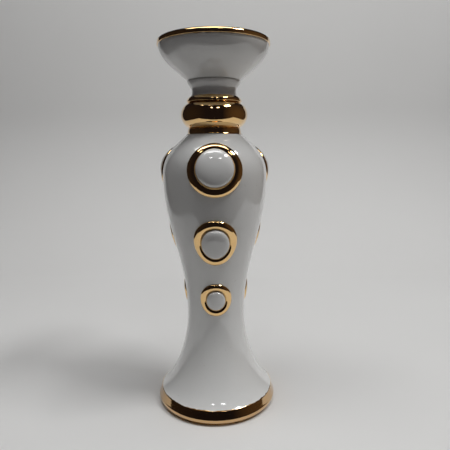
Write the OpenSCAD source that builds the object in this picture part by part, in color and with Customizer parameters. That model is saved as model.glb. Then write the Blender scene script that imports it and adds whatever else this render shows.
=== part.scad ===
// Tall porcelain vase: a flared foot, a shouldered baluster body, a gilded
// collar, a short neck and a wide cup, with three columns of round sprigs,
// each a white dome inside a gilded bead.
// The parts are stacked on one axis, +Z up, and the foot stands on z = 0.
// The first column of sprigs faces -Y. All lengths are in millimetres.

/* [Foot] */
// Radius of the foot, over the gilded band
foot_r = 58.2; // [54:0.1:60]
// Height of the gilded band round the foot
foot_band_h = 14; // [12:0.5:16]
// How far the band leans in between its bead and its top
foot_band_lean = 3.5; // [2:0.5:5]
// Thickness of the gilded band
foot_band_t = 3; // [2:0.5:4]
// Depth of the hollow under the foot
foot_recess = 3; // [2:0.5:4]

/* [Body] */
// Wall of the cast body
wall = 4; // [3:0.5:4.5]
// Radius of the waist
waist_r = 28; // [26:0.5:32]
// Height of the waist
waist_z = 91.5; // [86:0.5:96]
// Radius of the shoulder, where the body is widest
shoulder_r = 48.8; // [47:0.1:51]
// Height of the shoulder
shoulder_z = 223.5; // [220:0.5:227]
// Radius of the throat, the hole through the collar and the neck
throat_r = 14; // [10:0.5:15]

/* [Collar] */
// Height at which the collar sits on the shoulder
seat_z = 261.5; // [260:0.5:263]
// Radius of the shoulder under the collar
seat_r = 25.5; // [24:0.5:27]
// Height of the narrow band at the bottom of the collar
band_h = 5.2; // [4:0.2:6]
// Radius of the knop, the large bulge of the collar
knop_r = 30.8; // [29:0.2:33]
// Height of the knop
knop_h = 22.6; // [20:0.2:24]
// Radius of the small bead on top of the knop
bead_r = 25.4; // [24:0.2:26]
// Height of the small bead
bead_h = 5.9; // [5:0.1:7]

/* [Neck and cup] */
// Radius of the neck at its narrowest
neck_r = 20.3; // [19:0.1:21]
// Height of the neck, between the collar and the cup
neck_h = 14; // [12:0.5:16]
// Radius of the tapered step that the cup sits on
step_r = 24.6; // [23.4:0.1:25.4]
// Radius of the cup under its gilded lip
cup_r = 50; // [46:0.5:54]
// Height of the cup, from the step to the gilded lip
cup_h = 30; // [28:0.5:33]
// Height of the gilded lip
lip_h = 4.8; // [4:0.2:5.5]
// How far the lip stands out from the cup
lip_swell = 1; // [0.5:0.1:1.5]
// Wall of the cup
cup_wall = 4.4; // [4:0.2:5]

/* [Sprigs] */
// Number of columns of sprigs
columns = 3; // [3]
// Height of the sprigs in the lower, middle and upper row
sprig_z = [110, 166, 232]; // [107:0.5:235]
// Half the width of a sprig, along the curved body
sprig_half_w = [15, 19.8, 24.6]; // [14:0.1:25]
// Half the height of a sprig, along the curved body
sprig_half_h = [16, 21.7, 24.8]; // [14:0.1:25]
// Width of the gilded bead round a dome
bead_w = [5.8, 6.6, 7.4]; // [5:0.1:8]
// How far the bead stands proud of the body
bead_rise = [2.2, 2.6, 2.8]; // [2:0.1:4]
// How far the dome stands proud of the body
dome_rise = [5, 6.2, 6.8]; // [3:0.1:7]
// How square a dome's edge is, from 0.3, a flat button, to 1, a round cap
dome_edge = 0.42; // [0.3:0.01:1]

/* [Hidden] */
$fn = 180;
ROWS = ["lower", "middle", "upper"];
SIDES = ["front", "right", "left"];

porcelain = [0.9, 0.9, 0.88];
gold = [0.83, 0.62, 0.28];

curve_steps = 18;      // straight steps along one curve of the outline
arc_steps = 10;        // straight steps along one rounded edge
collar_steps = 16;     // straight steps up one swelling of the collar
bead_turns = 48;       // steps round a bead
bead_steps = 8;        // steps over a bead
dome_turns = 36;       // steps round a dome
dome_steps = 6;        // steps from a dome's edge to its middle
slip_gap = 0.03;       // film of slip between a sprig and the body

foot_top_r = foot_r - foot_band_lean;
floor_z = foot_recess + 5;
band_z = seat_z + band_h;
knop_z = band_z + knop_h;
bead_z = knop_z + bead_h;
step_z = bead_z + neck_h;
lip_z = step_z + cup_h;
total_h = lip_z + lip_h;

// A cubic curve through points p, at t from 0 to 1, and its direction there
function bez(p, t) = pow(1 - t, 3) * p[0] + 3 * t * pow(1 - t, 2) * p[1]
    + 3 * t * t * (1 - t) * p[2] + pow(t, 3) * p[3];
function bez_dir(p, t) = let (v = pow(1 - t, 2) * (p[1] - p[0]) + 2 * t * (1 - t) * (p[2] - p[1])
    + t * t * (p[3] - p[2])) v / norm(v);
function curve(p, steps = curve_steps) = [for (i = [0:steps]) bez(p, i / steps)];
// The same curve moved towards the axis by d, square to itself
function inset(p, d, steps = curve_steps) = [for (i = [0:steps])
    let (u = bez_dir(p, i / steps)) bez(p, i / steps) + d * [-u.y, u.x]];
// An arc about c with radii a, from angle from to angle to
function arc(c, a, from, to, steps = arc_steps) = [for (i = [0:steps])
    let (w = from + (to - from) * i / steps) c + [a.x * cos(w), a.y * sin(w)]];
function reversed(list) = [for (i = [len(list) - 1:-1:0]) list[i]];
function without_first(list) = [for (i = [1:len(list) - 1]) list[i]];

// The body's outline is three curves: foot to waist, waist to shoulder, shoulder to collar
flare = [[foot_top_r, foot_band_h], [foot_top_r - 11.6, foot_band_h + 8.9],
    [waist_r, waist_z - 37.5], [waist_r, waist_z]];
belly = [[waist_r, waist_z], [waist_r, waist_z + 52.5], [shoulder_r, shoulder_z - 50], [shoulder_r, shoulder_z]];
crown = [[shoulder_r, shoulder_z], [shoulder_r, shoulder_z + 20], [seat_r + 11, seat_z - 10], [seat_r, seat_z]];
body_line = concat(curve(flare), without_first(curve(belly)), without_first(curve(crown)));

// Distance along the body's outline for each height, and the other way about
body_r_of_z = [for (p = body_line) [p.y, p.x]];
runs = [for (i = 0, s = 0; i < len(body_line);
    s = s + (i + 1 < len(body_line) ? norm(body_line[i + 1] - body_line[i]) : 0), i = i + 1) s];
z_of_run = [for (i = [0:len(runs) - 1]) [runs[i], body_line[i].y]];
run_of_z = [for (i = [0:len(runs) - 1]) [body_line[i].y, runs[i]]];
function body_r(z) = lookup(z, body_r_of_z);
function body_tilt(z) = let (d = 2) atan2(body_r(z - d) - body_r(z + d), 2 * d);

// A point of a sprig: a along the body's girth, s up its outline from the sprig's
// middle at height z, and v square to the surface
function on_body(z, a, s, v) = let (
    h = lookup(lookup(z, run_of_z) + s, z_of_run),
    r = body_r(h) + v * cos(body_tilt(h)),
    w = a / body_r(z) * 180 / PI
) [r * sin(w), -r * cos(w), h + v * sin(body_tilt(h))];

// Points in rings of n, skinned to a closed solid; a tube closes on itself
module skinned(rings, n, tube = false) {
    count = len(rings);
    sides = [for (i = [0:count - (tube ? 1 : 2)], j = [0:n - 1])
        let (a = i * n + j, b = i * n + (j + 1) % n, c = (i + 1) % count * n)
        each [[a, c + j, b], [b, c + j, c + (j + 1) % n]]];
    ends = tube ? [] : [[for (j = [0:n - 1]) j], [for (j = [n - 1:-1:0]) (count - 1) * n + j]];
    polyhedron(points = [for (ring = rings) each ring], faces = concat(sides, ends), convexity = 6);
}

module turned(outline, colour) {
    color(colour) rotate_extrude() polygon(outline);
}

// The gilded band: an upright bead at the floor, then a band that leans in to the white
band_inner = [[foot_r - foot_band_t, 0], [foot_r - foot_band_t, 5.5], [foot_top_r - foot_band_t, foot_band_h - 1.5]];
module foot_band() {
    bead = arc([foot_r - 1, 3.8], [1, 3.8], -90, 50);
    lean = arc([foot_top_r - 1.5, foot_band_h - 1.5], [1.5, 1.5], 20, 90, 5);
    turned(concat(bead, lean, reversed(band_inner)), gold);
}

// The cast body: foot ring, closed floor, waist, belly and shoulder, hollow up to the throat
module body_shell() {
    foot_ring_w = 8;
    under = [[0, foot_recess], [foot_r - foot_band_t - foot_ring_w - foot_recess, foot_recess],
        [foot_r - foot_band_t - foot_ring_w, 0]];
    top = [[throat_r, seat_z], [throat_r, seat_z - wall - 1]];
    inside = [for (p = concat(inset(flare, wall), without_first(inset(belly, wall)),
        without_first(inset(crown, wall)))) if (p.y > floor_z && p.x > throat_r + 2) p];
    turned(concat(under, band_inner, [[foot_top_r - 1.5, foot_band_h]], body_line, top,
        reversed(inside), [[inside[0].x - 1, floor_z], [0, floor_z]]), porcelain);
}

// The collar, from the shoulder up: a narrow band, the knop, and a small bead
module shoulder_band() {
    turned([[throat_r, seat_z], [seat_r + 0.3, seat_z], [seat_r - 0.5, seat_z + 1.1],
        [seat_r - 1, seat_z + band_h - 0.6], [seat_r - 1.5, seat_z + band_h], [throat_r, seat_z + band_h]], gold);
}
// A swelling from inner_r out to bulge_r, widest at share wide_at of its height;
// the higher low or high is, the leaner it is below or above its widest
notch_r = neck_r + 1.9;
module collar_ring(z, h, inner_r, bulge_r, wide_at, low, high) {
    side = [for (w = [-80:160 / collar_steps:80.1])
        [inner_r + (bulge_r - inner_r) * pow(cos(w), w < 0 ? low : high),
         z + h * (wide_at + (w < 0 ? wide_at : 1 - wide_at) * sin(w) / sin(80))]];
    turned(concat([[throat_r, z]], side, [[throat_r, z + h]]), gold);
}
module collar_knop() { collar_ring(band_z, knop_h, notch_r, knop_r, 0.52, 1.4, 1); }
module neck_bead() { collar_ring(knop_z, bead_h, notch_r, bead_r, 0.25, 1, 1.9); }

// The waisted neck, with a step on top that widens up to the cup
module neck_stem() {
    step_h = 6.6;
    waist = curve([[neck_r + 1.3, bead_z], [neck_r - 0.2, bead_z + 2],
        [neck_r - 0.4, bead_z + 5.2], [neck_r + 0.8, step_z - step_h]], 10);
    turned(concat([[throat_r, bead_z]], waist,
        [[neck_r + 1.2, step_z - step_h + 0.3], [step_r, step_z - 0.8], [step_r - 0.3, step_z],
        [throat_r, step_z]]), porcelain);
}

// The cup: a wide bowl whose floor opens into the throat
cup_side = [[step_r - 0.3, step_z], [step_r + 3.4, step_z + 4], [cup_r - 0.2, lip_z - 13], [cup_r, lip_z]];
module cup_bowl() {
    inside = [for (p = inset(cup_side, cup_wall)) if (p.x > throat_r + 4) p];
    turned(concat([[throat_r, step_z]], curve(cup_side),
        [[cup_r - cup_wall, lip_z]], reversed(inside), [[throat_r, inside[0].y - 1.6]]), porcelain);
}

// The gilded lip, a round roll that stands out from the cup
module lip_band() {
    radii = [(cup_wall + 2 * lip_swell) / 2 - 0.1, lip_h * 0.52];
    middle = [cup_r + lip_swell - radii.x, total_h - radii.y];
    turned(concat([[cup_r - cup_wall, lip_z], [cup_r, lip_z]], arc(middle, radii, -48, 200, 16)), gold);
}

// A sprig's dome: a button with a full round edge, inside the bead, whose back follows the body
module dome(row) {
    z = sprig_z[row];
    w = sprig_half_w[row] - bead_w[row];
    h = sprig_half_h[row] - bead_w[row];
    tip = 0.03;
    back = [for (k = [0:dome_steps]) [max(tip, k / dome_steps), slip_gap]];
    cap = [for (k = [dome_steps - 1:-1:0]) let (t = 90 * k / dome_steps)
        [max(tip, pow(sin(t), dome_edge)), dome_rise[row] * pow(cos(t), dome_edge)]];
    rings = [for (q = concat(back, cap)) [for (i = [0:dome_turns - 1]) let (t = 360 * i / dome_turns)
        on_body(z, w * q.x * cos(t), h * q.x * sin(t), q.y)]];
    color(porcelain) skinned(rings, dome_turns);
}

// A sprig's bead: half round and gilded, whose back follows the body
module ring(row) {
    z = sprig_z[row];
    half = bead_w[row] / 2;
    w = sprig_half_w[row] - half;
    h = sprig_half_h[row] - half;
    section = concat([for (k = [0:bead_steps]) let (t = 180 * k / bead_steps)
        [half * cos(t), slip_gap + bead_rise[row] * sin(t)]], [[0, slip_gap]]);
    rings = [for (i = [0:bead_turns - 1]) let (t = 360 * i / bead_turns)
        [for (q = section) on_body(z, (w + q.x) * cos(t), (h + q.x) * sin(t), q.y)]];
    color(gold) skinned(rings, len(section), tube = true);
}

module round_the_body(side) rotate(360 / columns * side) children();

foot_band();
body_shell();
shoulder_band();
collar_knop();
neck_bead();
neck_stem();
cup_bowl();
lip_band();
for (row = [0:2]) for (side = [0:2]) {
    round_the_body(side) dome(row);
    round_the_body(side) ring(row);
}
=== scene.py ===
import math

import bmesh
import bpy
from mathutils import Matrix, Vector, noise
from mathutils.geometry import interpolate_bezier


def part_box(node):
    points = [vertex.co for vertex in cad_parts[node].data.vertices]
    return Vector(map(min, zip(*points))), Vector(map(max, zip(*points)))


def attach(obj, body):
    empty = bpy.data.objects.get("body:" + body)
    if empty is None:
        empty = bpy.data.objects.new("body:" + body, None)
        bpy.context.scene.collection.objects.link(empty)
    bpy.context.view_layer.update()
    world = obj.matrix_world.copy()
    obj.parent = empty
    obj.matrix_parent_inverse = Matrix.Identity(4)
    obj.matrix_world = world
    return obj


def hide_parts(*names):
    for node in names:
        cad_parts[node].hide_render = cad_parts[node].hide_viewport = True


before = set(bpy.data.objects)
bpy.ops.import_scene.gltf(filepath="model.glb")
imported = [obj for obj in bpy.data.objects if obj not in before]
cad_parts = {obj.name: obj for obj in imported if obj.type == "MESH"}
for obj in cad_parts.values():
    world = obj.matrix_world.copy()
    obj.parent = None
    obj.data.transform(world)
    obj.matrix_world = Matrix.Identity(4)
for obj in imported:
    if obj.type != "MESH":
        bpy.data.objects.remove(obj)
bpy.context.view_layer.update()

# ---------------------------------------------------------------------------
# Cast body: the hollow porcelain shell from the foot ring up to the shoulder,
# poured as slip in a plaster mould, fettled, dipped in clear glaze and fired.
# The ring it stands on is wiped bare of glaze before the firing.
mm = 0.001
turn_steps = 288
sharp_from = math.radians(50)
foot_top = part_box("body_shell")[1].x
foot_band_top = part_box("foot_band")[1].z
seat_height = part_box("body_shell")[1].z
wall = 4 * mm
waist_radius, waist_height = 28 * mm, 91.5 * mm
shoulder_radius, shoulder_height = 48.8 * mm, 223.5 * mm
seat_radius = 25.5 * mm
throat_radius = 14 * mm


def curve(start, pull_start, pull_end, end, steps=40):
    """Points (radius, height) along one smooth stretch of an outline."""
    flat = [Vector((r, 0, z)) for r, z in (start, pull_start, pull_end, end)]
    return [(p.x, p.z) for p in interpolate_bezier(*flat, steps + 1)]


def arc(centre, radii, first, last, steps=10):
    """Points along a round edge, angles in degrees."""
    angles = [math.radians(first + (last - first) * i / steps) for i in range(steps + 1)]
    return [(centre[0] + radii[0] * math.cos(w), centre[1] + radii[1] * math.sin(w)) for w in angles]


def inset(points, depth):
    """The same outline moved square to itself, towards the axis."""
    moved = []
    for i, (r, z) in enumerate(points):
        before, after = points[max(i - 1, 0)], points[min(i + 1, len(points) - 1)]
        along = Vector((after[0] - before[0], after[1] - before[1])).normalized()
        moved.append((r - depth * along.y, z + depth * along.x))
    return moved


def make_piece(node, mesh, material, slot):
    """One finished piece of the vase, smooth-shaded, in the place of the plain one."""
    name = node + ("_gilded" if slot == "gilding" else "_glazed")
    mesh.normal_update()
    bmesh.ops.recalc_face_normals(mesh, faces=mesh.faces)
    data = bpy.data.meshes.new(name)
    mesh.to_mesh(data)
    mesh.free()
    data.shade_smooth()
    data.set_sharp_from_angle(angle=sharp_from)
    data.materials.append(material)
    piece = bpy.data.objects.new(name, data)
    bpy.context.scene.collection.objects.link(piece)
    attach(piece, "root")
    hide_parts(node)


def turned(outline, wobble=0.0, seed=0):
    """A closed outline turned round the axis; wobble is how far the hand-finished surface strays."""
    mesh = bmesh.new()
    rings = []
    for r, z in outline:
        if r < 1e-6:
            rings.append([mesh.verts.new((0, 0, z))] * turn_steps)
            continue
        ring = []
        for i in range(turn_steps):
            w = 2 * math.pi * i / turn_steps
            where = Vector((math.cos(w), math.sin(w), z * 9 + seed))
            radius = r - wobble * (0.5 + 0.5 * noise.noise(where * 1.3))
            ring.append(mesh.verts.new((radius * math.cos(w), radius * math.sin(w), z)))
        rings.append(ring)
    for lower, upper in zip(rings, rings[1:] + rings[:1]):
        for i in range(turn_steps):
            j = (i + 1) % turn_steps
            corners = list(dict.fromkeys((lower[i], lower[j], upper[j], upper[i])))
            if len(corners) > 2:
                mesh.faces.new(corners)
    return mesh


class Socket:
    """A node's output that takes part in Python expressions on values."""

    def __init__(self, tree, link):
        self.tree = tree
        self.link = link

    def node(self, kind, settings=None, outlet=0, **inputs):
        made = self.tree.nodes.new("ShaderNode" + kind)
        for key, value in (settings or {}).items():
            if key == "stops":
                fill_ramp(made.color_ramp, value)
            else:
                setattr(made, key, value)
        for key, value in inputs.items():
            place = int(key[1:]) if key[1:].isdigit() else key.replace("_", " ")
            if isinstance(value, Socket):
                self.tree.links.new(value.link, made.inputs[place])
            else:
                made.inputs[place].default_value = value
        return Socket(self.tree, made.outputs[outlet])

    def maths(self, operation, first, second=0.0, clamp=False):
        return self.node("Math", {"operation": operation, "use_clamp": clamp}, i0=first, i1=second)

    def __add__(self, other):
        return self.maths("ADD", self, other)

    def __sub__(self, other):
        return self.maths("SUBTRACT", self, other)

    def __rsub__(self, other):
        return self.maths("SUBTRACT", other, self)

    def __mul__(self, other):
        return self.maths("MULTIPLY", self, other)

    def __truediv__(self, other):
        return self.maths("DIVIDE", self, other)

    def clamped(self):
        return self.maths("ADD", self, 0.0, clamp=True)

    def larger(self, other):
        return self.maths("MAXIMUM", self, other)

    __radd__ = __add__

    def blend(self, first, second):
        """The first colour where this value is 0, and the second where it is 1."""
        return self.node("Mix", {"data_type": "RGBA"}, outlet=2, i0=self, i6=first, i7=second)

    def noise(self, scale, detail=3.0, roughness=0.5):
        """Noise over the surface, features about 1 / scale metres across."""
        return self.node("TexNoise", None, Vector=self, Scale=scale, Detail=detail, Roughness=roughness)


def fill_ramp(ramp, stops):
    """Stops are (place, grey) pairs."""
    while len(ramp.elements) < len(stops):
        ramp.elements.new(1.0)
    for element, (place, grey) in zip(ramp.elements, stops):
        element.position = place
        element.color = (grey, grey, grey, 1)


def new_material(name):
    """An empty material: its tree, its shader, and the position on the object as a Socket."""
    material = bpy.data.materials.new(name)
    material.use_nodes = True
    tree = material.node_tree
    shader = tree.nodes["Principled BSDF"]
    place = Socket(tree, tree.nodes.new("ShaderNodeTexCoord").outputs["Object"])
    return material, tree, shader, place


def feed(tree, shader, **inputs):
    """Sets or links the shader's own sockets."""
    for key, value in inputs.items():
        place = key.replace("_", " ")
        if isinstance(value, Socket):
            tree.links.new(value.link, shader.inputs[place])
        else:
            shader.inputs[place].default_value = value


porcelain_white = (0.80, 0.80, 0.785, 1)
porcelain_shade = (0.745, 0.75, 0.74, 1)
biscuit = (0.66, 0.62, 0.55, 1)
biscuit_grit = (0.5, 0.46, 0.4, 1)
iron_speck = (0.42, 0.38, 0.31, 1)
lustre = (0.92, 0.59, 0.22, 1)
brush_stray = 0.75 * mm
brush_fade = 0.12 * mm


def glaze_material(name, gilded_below=None, gilded_above=None, bare_foot=False):
    """Clear glossy glaze on white porcelain. Gold strays over its edge by a hair, as a brush leaves it."""
    material, tree, shader, place = new_material(name)
    height = place.node("SeparateXYZ", None, outlet=2, i0=place)
    cloud = place.noise(22.0, 2.0)
    fleck = place.noise(900.0, 2.0, 0.6)
    speck = place.node("ValToRGB", {"stops": [(0.735, 0.0), (0.775, 1.0)]}, i0=place.noise(520.0, 1.0))
    colour = cloud.blend(porcelain_white, porcelain_shade)
    colour = (speck * 0.25).blend(colour, iron_speck)
    rough = cloud * 0.05 + fleck * 0.03 + 0.05
    bump = place.noise(260.0, 2.0) * 0.35 + place.noise(48.0, 2.0) * 1.6
    gold = None
    brushed = place.noise(330.0, 3.0) * 1.1 * mm + place.noise(90.0, 1.0) * 0.9 * mm
    if gilded_below is not None:
        gold = gilded_below + brushed - brush_stray - height
        gold = (gold / brush_fade).clamped()
    if gilded_above is not None:
        above = height - gilded_above + brushed - brush_stray
        above = (above / brush_fade).clamped()
        gold = above if gold is None else gold.larger(above)
    coat = 1.0
    metallic = 0.0
    if gold is not None:
        colour = gold.blend(colour, lustre)
        metallic = gold
        coat = 1.0 - gold
        rough = rough + gold * 0.06
        bump = bump + gold * 0.4
    if bare_foot:
        bare = (1.0 - height / (0.5 * mm)).clamped()
        grit = place.noise(1400.0, 4.0, 0.7)
        colour = bare.blend(colour, grit.blend(biscuit, biscuit_grit))
        rough = rough + bare * 0.6
        coat = coat - bare if isinstance(coat, Socket) else 1.0 - bare
        bump = bump + bare * grit * 2.0
    relief = place.node("Bump", None, Height=bump, Strength=0.25, Distance=0.06 * mm)
    feed(tree, shader, Base_Color=colour, Roughness=rough, Metallic=metallic, Coat_Weight=coat, Normal=relief)
    feed(tree, shader, IOR=1.5, Coat_Roughness=0.03, Coat_IOR=1.5)
    return material


body_glaze = glaze_material("body_glaze", foot_band_top, seat_height, bare_foot=True)
flare = curve((foot_top, foot_band_top), (foot_top - 11.6 * mm, foot_band_top + 8.9 * mm),
              (waist_radius, waist_height - 37.5 * mm), (waist_radius, waist_height), 60)
belly = curve((waist_radius, waist_height), (waist_radius, waist_height + 52.5 * mm),
              (shoulder_radius, shoulder_height - 50 * mm), (shoulder_radius, shoulder_height), 90)
crown = curve((shoulder_radius, shoulder_height), (shoulder_radius, shoulder_height + 20 * mm),
              (seat_radius + 11 * mm, seat_height - 10 * mm), (seat_radius, seat_height), 40)
body_line = flare + belly[1:] + crown[1:]

foot_radius = min(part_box("foot_band")[1].x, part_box("foot_band")[1].y)
foot_floor = 8 * mm
foot_band_inside = foot_radius - 3 * mm
under_foot = [(0, 3 * mm)]
under_foot += arc((foot_band_inside - 13 * mm, 1.5 * mm), (1.5 * mm, 1.5 * mm), 90, 30, 6)
under_foot += arc((foot_band_inside - 7.4 * mm, 2.2 * mm), (2.2 * mm, 2.2 * mm), 215, 270, 6)
under_foot += arc((foot_band_inside - 0.9 * mm, 0.9 * mm), (0.9 * mm, 0.9 * mm), 270, 360, 5)
behind_band = [(foot_band_inside, 5.5 * mm), (foot_top - 3 * mm, foot_band_top - 1.6 * mm),
               (foot_top - 1.3 * mm, foot_band_top - 0.1 * mm)]
inner_line = [p for p in inset(body_line, wall)
              if p[1] > foot_floor + 1 * mm and p[0] > throat_radius + 2 * mm]
throat = [(throat_radius, seat_height), (throat_radius, seat_height - wall - 1 * mm)]
floor_edge = arc((inner_line[0][0] - 4 * mm, foot_floor + 1.6 * mm), (4 * mm, 1.6 * mm), 0, -90, 8)
body_outline = under_foot + behind_band + body_line + throat
body_outline += inner_line[::-1] + floor_edge + [(0, foot_floor)]
make_piece("body_shell", turned(body_outline, 0.05 * mm, 1), body_glaze, "white_glaze")

# ---------------------------------------------------------------------------
# Foot band: bright gold lustre brushed on a bead at the floor and on the band
# that leans in above it, then fired again, low, so that it melts to a mirror.
# The bead hangs just clear of the table: the ring behind it bears the weight.
lustre_thin = (0.50, 0.28, 0.12, 1)


def gold_material(name, brush_scale=60.0, thinness=0.4, white_above=None, white_within=None):
    """Fired liquid gold under a thin flux: a mirror, browner where it is thin, with faint brush marks."""
    material, tree, shader, place = new_material(name)
    across = place.node("SeparateXYZ", None, outlet=0, i0=place)
    depth = Socket(tree, across.link.node.outputs[1])
    height = Socket(tree, across.link.node.outputs[2])
    girth = place.maths("ARCTAN2", depth, across)
    streak_place = place.node("CombineXYZ", None, i0=girth * 3.0, i1=height * 900.0)
    streak = place.node("TexNoise", None, Vector=streak_place, Scale=1.0, Detail=4.0, Roughness=0.6)
    cloud = place.noise(70.0, 3.0, 0.6)
    thin = place.node("ValToRGB", {"stops": [(0.52, 0.0), (0.78, 1.0)]}, i0=cloud * 0.6 + streak * 0.4)
    rub = place.node("ValToRGB", {"stops": [(0.63, 0.0), (0.72, 1.0)]}, i0=place.noise(420.0, 4.0, 0.65))
    colour = (thin * 0.4 + (thinness - 0.3)).clamped().blend(lustre, lustre_thin)
    rough = 0.035 + cloud * 0.04 + streak * 0.03 + rub * 0.12
    bump = streak * 0.5 + place.noise(brush_scale, 2.0) * 1.5 + place.noise(700.0, 2.0) * 0.12
    relief = place.node("Bump", None, Height=bump, Strength=0.3, Distance=0.08 * mm)
    white = None
    # Above a given height the gold gives way to white glaze in patches, pale along the crest.
    if white_above is not None:
        patchy = place.noise(130.0, 4.0, 0.6)
        patches = place.node("ValToRGB", {"stops": [(0.42, 0.0), (0.70, 1.0)]}, i0=patchy)
        white = height - white_above + place.noise(240.0, 3.0) * 0.6 * mm
        white = (white / (0.5 * mm)).clamped() * patches * 0.85
    if white_within is not None:
        radius = place.maths("SQRT", across * across + depth * depth)
        white = ((white_within - radius) / (0.3 * mm)).clamped()
    metallic = 1.0
    if white is not None:
        colour = white.blend(colour, porcelain_white)
        metallic = 1.0 - white
        rough = rough + white * 0.05
    feed(tree, shader, Base_Color=colour, Roughness=rough, Metallic=metallic, Normal=relief)
    feed(tree, shader, Coat_Weight=1.0, Coat_IOR=1.8, Coat_Roughness=0.03)
    return material


foot_gold = gold_material("foot_gold", thinness=0.9)
foot_gap = 2.8 * mm
foot_bead = arc((foot_radius - 1.3 * mm, foot_gap + 2.4 * mm), (1.3 * mm, 2.4 * mm), -90, 50, 28)
foot_lean = arc((foot_top - 1.5 * mm, foot_band_top - 1.5 * mm), (1.5 * mm, 1.5 * mm), 20, 90, 10)
band_low, band_high = Vector(foot_bead[-1]), Vector(foot_lean[0])
band_steps = 8
band_face = [tuple(band_low.lerp(band_high, i / band_steps)) for i in range(1, band_steps)]
band_back = [(foot_top - 3 * mm, foot_band_top - 1.5 * mm), (foot_band_inside, 5.5 * mm),
             (foot_band_inside, foot_gap)]
make_piece("foot_band", turned(foot_bead + band_face + foot_lean + band_back), foot_gold, "gilding")

# ---------------------------------------------------------------------------
# Collar: a narrow band on the shoulder, the large round knop and a small bead
# over it, cast in porcelain. Their outsides are gilded, and the throat is white.
collar_gold = gold_material("collar_gold", thinness=0.35, white_within=throat_radius + 2 * mm)


def collar_ring(name, inner_radius, wide_at, lean_low, lean_high, steps=48):
    """One swelling of the collar, in its place in the frame, widest at a share of its height."""
    low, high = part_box(name)
    bulge_radius = min(high.x, high.y)
    widest = low.z + wide_at * (high.z - low.z)
    end = math.radians(80)
    side = []
    for i in range(steps + 1):
        w = end * (2 * i / steps - 1)
        swell = (bulge_radius - inner_radius) * math.cos(w) ** (lean_low if w < 0 else lean_high)
        reach = widest - low.z if w < 0 else high.z - widest
        side.append((inner_radius + swell, widest + reach * math.sin(w) / math.sin(end)))
    outline = [(throat_radius, low.z)] + side + [(throat_radius, high.z)]
    make_piece(name, turned(outline), collar_gold, "gilding")


neck_radius = 20.3 * mm
notch_radius = neck_radius + 1.9 * mm
collar_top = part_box("shoulder_band")[1].z
foot_of_band = curve((seat_radius + 0.3 * mm, seat_height),
                     (seat_radius - 0.2 * mm, seat_height + 0.4 * mm),
                     (seat_radius - 0.5 * mm, seat_height + 0.8 * mm),
                     (seat_radius - 0.6 * mm, seat_height + 1.6 * mm), 8)
top_of_band = arc((seat_radius - 1.6 * mm, collar_top - 0.6 * mm), (0.6 * mm, 0.6 * mm), 5, 90, 6)
band_outline = [(throat_radius, seat_height)] + foot_of_band + top_of_band + [(throat_radius, collar_top)]
make_piece("shoulder_band", turned(band_outline), collar_gold, "gilding")
collar_ring("collar_knop", notch_radius, 0.52, 1.4, 1)
collar_ring("neck_bead", notch_radius, 0.25, 1, 1.9)

# ---------------------------------------------------------------------------
# Neck: a short waisted stem in white glaze, with a tapered step on its top
# that the cup is luted to with slip.
neck_low, neck_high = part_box("neck_stem")
step_radius = min(neck_high.x, neck_high.y)
step_height = 6.6 * mm
step_foot = neck_high.z - step_height
neck_glaze = glaze_material("neck_glaze", gilded_below=neck_low.z)
neck_line = curve((neck_radius + 1.3 * mm, neck_low.z), (neck_radius - 0.2 * mm, neck_low.z + 2 * mm),
                  (neck_radius - 0.4 * mm, neck_low.z + 5.2 * mm), (neck_radius + 0.8 * mm, step_foot), 36)
step_line = curve((neck_radius + 0.95 * mm, step_foot + 0.15 * mm),
                  (neck_radius + 1.3 * mm, step_foot + 0.4 * mm),
                  (step_radius - 0.7 * mm, neck_high.z - 3 * mm),
                  (step_radius, neck_high.z - 0.8 * mm), 16)
step_line += arc((step_radius - 0.5 * mm, neck_high.z - 0.5 * mm), (0.5 * mm, 0.5 * mm), 10, 90, 6)
neck_outline = [(throat_radius, neck_low.z)] + neck_line + step_line + [(throat_radius, neck_high.z)]
make_piece("neck_stem", turned(neck_outline, 0.04 * mm, 5), neck_glaze, "white_glaze")

# ---------------------------------------------------------------------------
# Cup: a wide thin bowl in white glaze, cast on its own and joined to the neck;
# its floor opens into the throat.
cup_low, cup_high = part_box("cup_bowl")
cup_radius = min(cup_high.x, cup_high.y)
cup_wall = 4.4 * mm
cup_glaze = glaze_material("cup_glaze", gilded_above=cup_high.z)
cup_side = curve((step_radius - 0.3 * mm, cup_low.z), (step_radius + 3.4 * mm, cup_low.z + 4 * mm),
                 (cup_radius - 0.2 * mm, cup_high.z - 13 * mm), (cup_radius, cup_high.z), 64)
cup_inside = [p for p in inset(cup_side, cup_wall) if p[0] > throat_radius + 4 * mm]
cup_mouth = [(cup_radius - cup_wall, cup_high.z)]
cup_drain = arc((throat_radius + 2 * mm, cup_inside[0][1] - 3 * mm), (2 * mm, 2 * mm), 90, 180, 6)
cup_outline = [(throat_radius, cup_low.z)] + cup_side + cup_mouth + cup_inside[::-1] + cup_drain
make_piece("cup_bowl", turned(cup_outline, 0.05 * mm, 9), cup_glaze, "white_glaze")

# ---------------------------------------------------------------------------
# Lip: the rounded rim of the cup, gilded over its top and a little way down.
# Along its crest the gold gives way to white glaze in patches, pale over the top of the rim.
lip_low, lip_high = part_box("lip_band")
lip_radius = min(lip_high.x, lip_high.y)
lip_radii = (lip_radius - cup_radius + cup_wall / 2 - 0.1 * mm, (lip_high.z - lip_low.z) * 0.52)
lip_round = arc((lip_radius - lip_radii[0], lip_high.z - lip_radii[1]), lip_radii, 0, 200, 48)
lip_under = arc((lip_radius - 0.4 * mm, lip_low.z + 0.5 * mm), (0.4 * mm, 0.4 * mm), -90, 0, 6)
lip_outline = [(cup_radius - cup_wall, lip_low.z), (cup_radius, lip_low.z)] + lip_under + lip_round
lip_gold = gold_material("lip_gold", white_above=lip_high.z - 0.5 * mm)
make_piece("lip_band", turned(lip_outline), lip_gold, "gilding")

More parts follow.
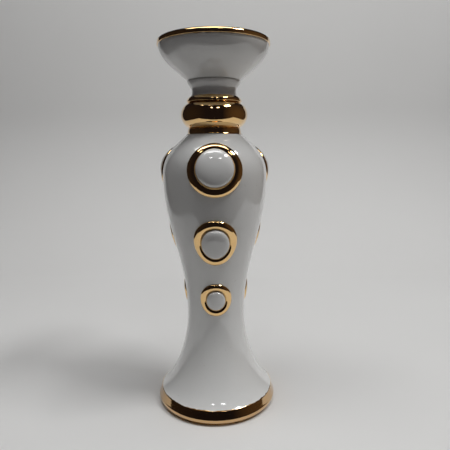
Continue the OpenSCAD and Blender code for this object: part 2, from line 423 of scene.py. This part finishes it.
# ---------------------------------------------------------------------------
# Sprigs: white buttons of clay pressed in small moulds and stuck on with slip,
# three in each of three columns, every one inside a gilded bead.
column_turn = math.radians(120)
sprig_rows = {
    "lower": {"height": 110.0, "half_width": 15.0, "half_height": 16.0,
              "bead": 6.9, "bead_rise": 2.2, "rise": 5.0},
    "middle": {"height": 166.0, "half_width": 19.8, "half_height": 21.7,
               "bead": 8.1, "bead_rise": 2.6, "rise": 6.2},
    "upper": {"height": 232.0, "half_width": 24.6, "half_height": 24.8,
              "bead": 9.0, "bead_rise": 2.8, "rise": 6.8},
}
dome_edge = 0.42
slip_gap = 0.03 * mm
sprig_glaze = glaze_material("sprig_glaze")
sprig_gold = gold_material("sprig_gold", 140.0)

line_run = [0.0]
for (r0, z0), (r1, z1) in zip(body_line, body_line[1:]):
    line_run.append(line_run[-1] + math.hypot(r1 - r0, z1 - z0))


def between(keys, values, key):
    """The value at a key, read between the two nearest."""
    if key <= keys[0]:
        return values[0]
    for k0, k1, v0, v1 in zip(keys, keys[1:], values, values[1:]):
        if key <= k1:
            return v0 + (v1 - v0) * (key - k0) / (k1 - k0)
    return values[-1]


line_heights = [z for r, z in body_line]
line_radii = [r for r, z in body_line]


def on_body(height, across, up, proud):
    """A point near the body: across its girth and up its outline from a sprig's middle, and proud of it."""
    run = between(line_heights, line_run, height) + up
    z = between(line_run, line_heights, run)
    d = 2 * mm
    narrowing = between(line_heights, line_radii, z - d) - between(line_heights, line_radii, z + d)
    lean = math.atan2(narrowing, 2 * d)
    r = between(line_heights, line_radii, z) + proud * math.cos(lean)
    w = across / between(line_heights, line_radii, height)
    return r * math.sin(w), -r * math.cos(w), z + proud * math.sin(lean)


def skinned(rings, tube):
    """Rings of points skinned to a closed form; a tube joins its last ring to its first."""
    mesh = bmesh.new()
    made = [[mesh.verts.new(p) for p in ring] for ring in rings]
    pairs = list(zip(made, made[1:] + made[:1])) if tube else list(zip(made, made[1:]))
    for one, two in pairs:
        for i in range(len(one)):
            j = (i + 1) % len(one)
            mesh.faces.new((one[i], one[j], two[j], two[i]))
    if not tube:
        mesh.faces.new(made[0])
        mesh.faces.new(made[-1])
    return mesh


def dome_mesh(row, turns=96, rise_steps=22):
    """The white button: a cushion that follows the body, full at its middle and round at its edge."""
    half_w = (row["half_width"] - row["bead"]) * mm
    half_h = (row["half_height"] - row["bead"]) * mm
    profile = [(0.001 + 0.999 * k / 6, slip_gap) for k in range(7)]
    for k in range(1, rise_steps + 1):
        t = math.pi / 2 * k / rise_steps
        share = max(0.0, math.cos(t)) ** dome_edge
        profile.append((max(0.001, share), row["rise"] * mm * math.sin(t) ** dome_edge))
    rings = []
    for share, proud in profile:
        ring = []
        for i in range(turns):
            w = 2 * math.pi * i / turns
            across, up = half_w * share * math.cos(w), half_h * share * math.sin(w)
            ring.append(on_body(row["height"] * mm, across, up, proud))
        rings.append(ring)
    return skinned(rings, False)


def bead_mesh(row, turns=128, steps=20):
    """The gilded bead: half round, swelling a little unevenly round its loop."""
    half = row["bead"] / 2 * mm
    half_w, half_h = row["half_width"] * mm - half, row["half_height"] * mm - half
    rings = []
    for i in range(turns):
        w = 2 * math.pi * i / turns
        round_noise = noise.noise(Vector((math.cos(w) * 2.2, math.sin(w) * 2.2, row["height"])))
        section = []
        for k in range(steps + 1):
            t = math.pi * k / steps
            section.append((half * math.cos(t), slip_gap + row["bead_rise"] * mm * math.sin(t)))
        section.append((0, slip_gap))
        swell = 1 + 0.02 * round_noise
        rings.append([on_body(row["height"] * mm, (half_w + a * swell) * math.cos(w),
                              (half_h + a * swell) * math.sin(w), v * swell) for a, v in section])
    return skinned(rings, True)


for row_name, row in sprig_rows.items():
    for column, side in enumerate(("front", "right", "left")):
        dome = dome_mesh(row)
        dome.transform(Matrix.Rotation(column_turn * column, 4, "Z"))
        make_piece(f"{row_name}_dome_{side}", dome, sprig_glaze, "white_glaze")
        bead = bead_mesh(row)
        bead.transform(Matrix.Rotation(column_turn * column, 4, "Z"))
        make_piece(f"{row_name}_ring_{side}", bead, sprig_gold, "gilding")

# ---------------------------------------------------------------------------
# Studio: a sheet of pale paper that lies on the table, starts 27 cm in front
# of the vase's axis and sweeps up behind it; the room beyond is dim.
paper_front, paper_back = -0.27, 0.42
paper_left_front, paper_left_back, paper_right = -0.42, -0.72, 0.72
sweep_radius = 0.35
wall_height = 0.66


def paper_sweep():
    """The sheet, front edge to the top of the wall."""
    line = [(paper_front, 0), (-0.1, 0), (0.1, 0), (0.3, 0)]
    line += [(paper_back + sweep_radius * math.sin(w), sweep_radius - sweep_radius * math.cos(w))
             for w in (math.pi / 2 * i / 16 for i in range(17))]
    line.append((paper_back + sweep_radius, wall_height))
    mesh = bmesh.new()
    deep = line[-1][0] - paper_front
    slant = (paper_left_back - paper_left_front) / deep
    left = [mesh.verts.new((paper_left_front + slant * (y - paper_front), y, z)) for y, z in line]
    right = [mesh.verts.new((paper_right, y, z)) for y, z in line]
    for i in range(len(line) - 1):
        mesh.faces.new((left[i], right[i], right[i + 1], left[i + 1]))
    data = bpy.data.meshes.new("paper")
    mesh.to_mesh(data)
    mesh.free()
    data.shade_smooth()
    return bpy.data.objects.new("paper", data)


paper = paper_sweep()
bpy.context.scene.collection.objects.link(paper)
paper_material, tree, shader, place = new_material("paper")
feed(tree, shader, Base_Color=place.noise(3.0, 2.0).blend((0.72, 0.72, 0.71, 1), (0.76, 0.76, 0.75, 1)))
feed(tree, shader, Roughness=0.85)
paper.data.materials.append(paper_material)

room = bpy.data.worlds.new("room")
room.use_nodes = True
bpy.context.scene.world = room
sky = room.node_tree.nodes["Background"]
toward = Socket(room.node_tree, room.node_tree.nodes.new("ShaderNodeTexCoord").outputs["Generated"])
sideways = toward.node("SeparateXYZ", None, outlet=0, i0=toward)
wall_edge, wall_start = 1.6, 0.75
right_wall = (sideways * wall_edge - wall_start).clamped()
left_wall = (sideways * -wall_edge - wall_start).clamped()
far_end = (0.010, 0.008, 0.011, 1)
warm_wall = (0.085, 0.055, 0.03, 1)
dim_wall = (0.022, 0.016, 0.013, 1)
surround = left_wall.blend(right_wall.blend(far_end, warm_wall), dim_wall)
room.node_tree.links.new(surround.link, sky.inputs["Color"])
sky.inputs["Strength"].default_value = 1.0


def lamp(name, place, aim, size, power):
    """A rectangular soft lamp that looks at a point."""
    data = bpy.data.lights.new(name, "AREA")
    data.shape = "RECTANGLE"
    data.size, data.size_y = size
    data.energy = power
    made = bpy.data.objects.new(name, data)
    made.location = place
    made.rotation_euler = (Vector(aim) - Vector(place)).to_track_quat("-Z", "Y").to_euler()
    bpy.context.scene.collection.objects.link(made)


lamp("overhead", (0.05, -0.2, 1.9), (0, 0, 0), (1.1, 0.7), 13)
lamp("right", (1.04, -0.38, 1.9), (0, 0, 0.2), (0.6, 0.3), 16)
lamp("left", (-0.7, -0.12, 1.9), (0, 0, 0.2), (0.5, 0.4), 3.5)
lamp("front_left", (-0.28, -1.6, 1.9), (0, 0, 0.2), (0.15, 0.1), 0.8)
lamp("front_right", (0.46, -1.6, 1.9), (0, 0, 0.2), (0.3, 0.12), 1.4)

# ---------------------------------------------------------------------------
# Camera: about 25 cm above the table and 42 cm in front of the vase's axis,
# tipped down by ten degrees, so that the foot is seen from a little above.
camera_data = bpy.data.cameras.new("camera")
camera_data.lens = 35.02
camera_data.sensor_width = 36
camera = bpy.data.objects.new("camera", camera_data)
pan, pitch, roll = math.radians(1.293), math.radians(9.896), math.radians(-0.329)
camera.matrix_world = (Matrix.Translation((0, -0.41688, 0.24836)) @ Matrix.Rotation(-pan, 4, "Z")
                       @ Matrix.Rotation(math.pi / 2 - pitch, 4, "X") @ Matrix.Rotation(roll, 4, "Z"))
bpy.context.scene.collection.objects.link(camera)
bpy.context.scene.camera = camera
bpy.context.scene.view_settings.view_transform = "Standard"
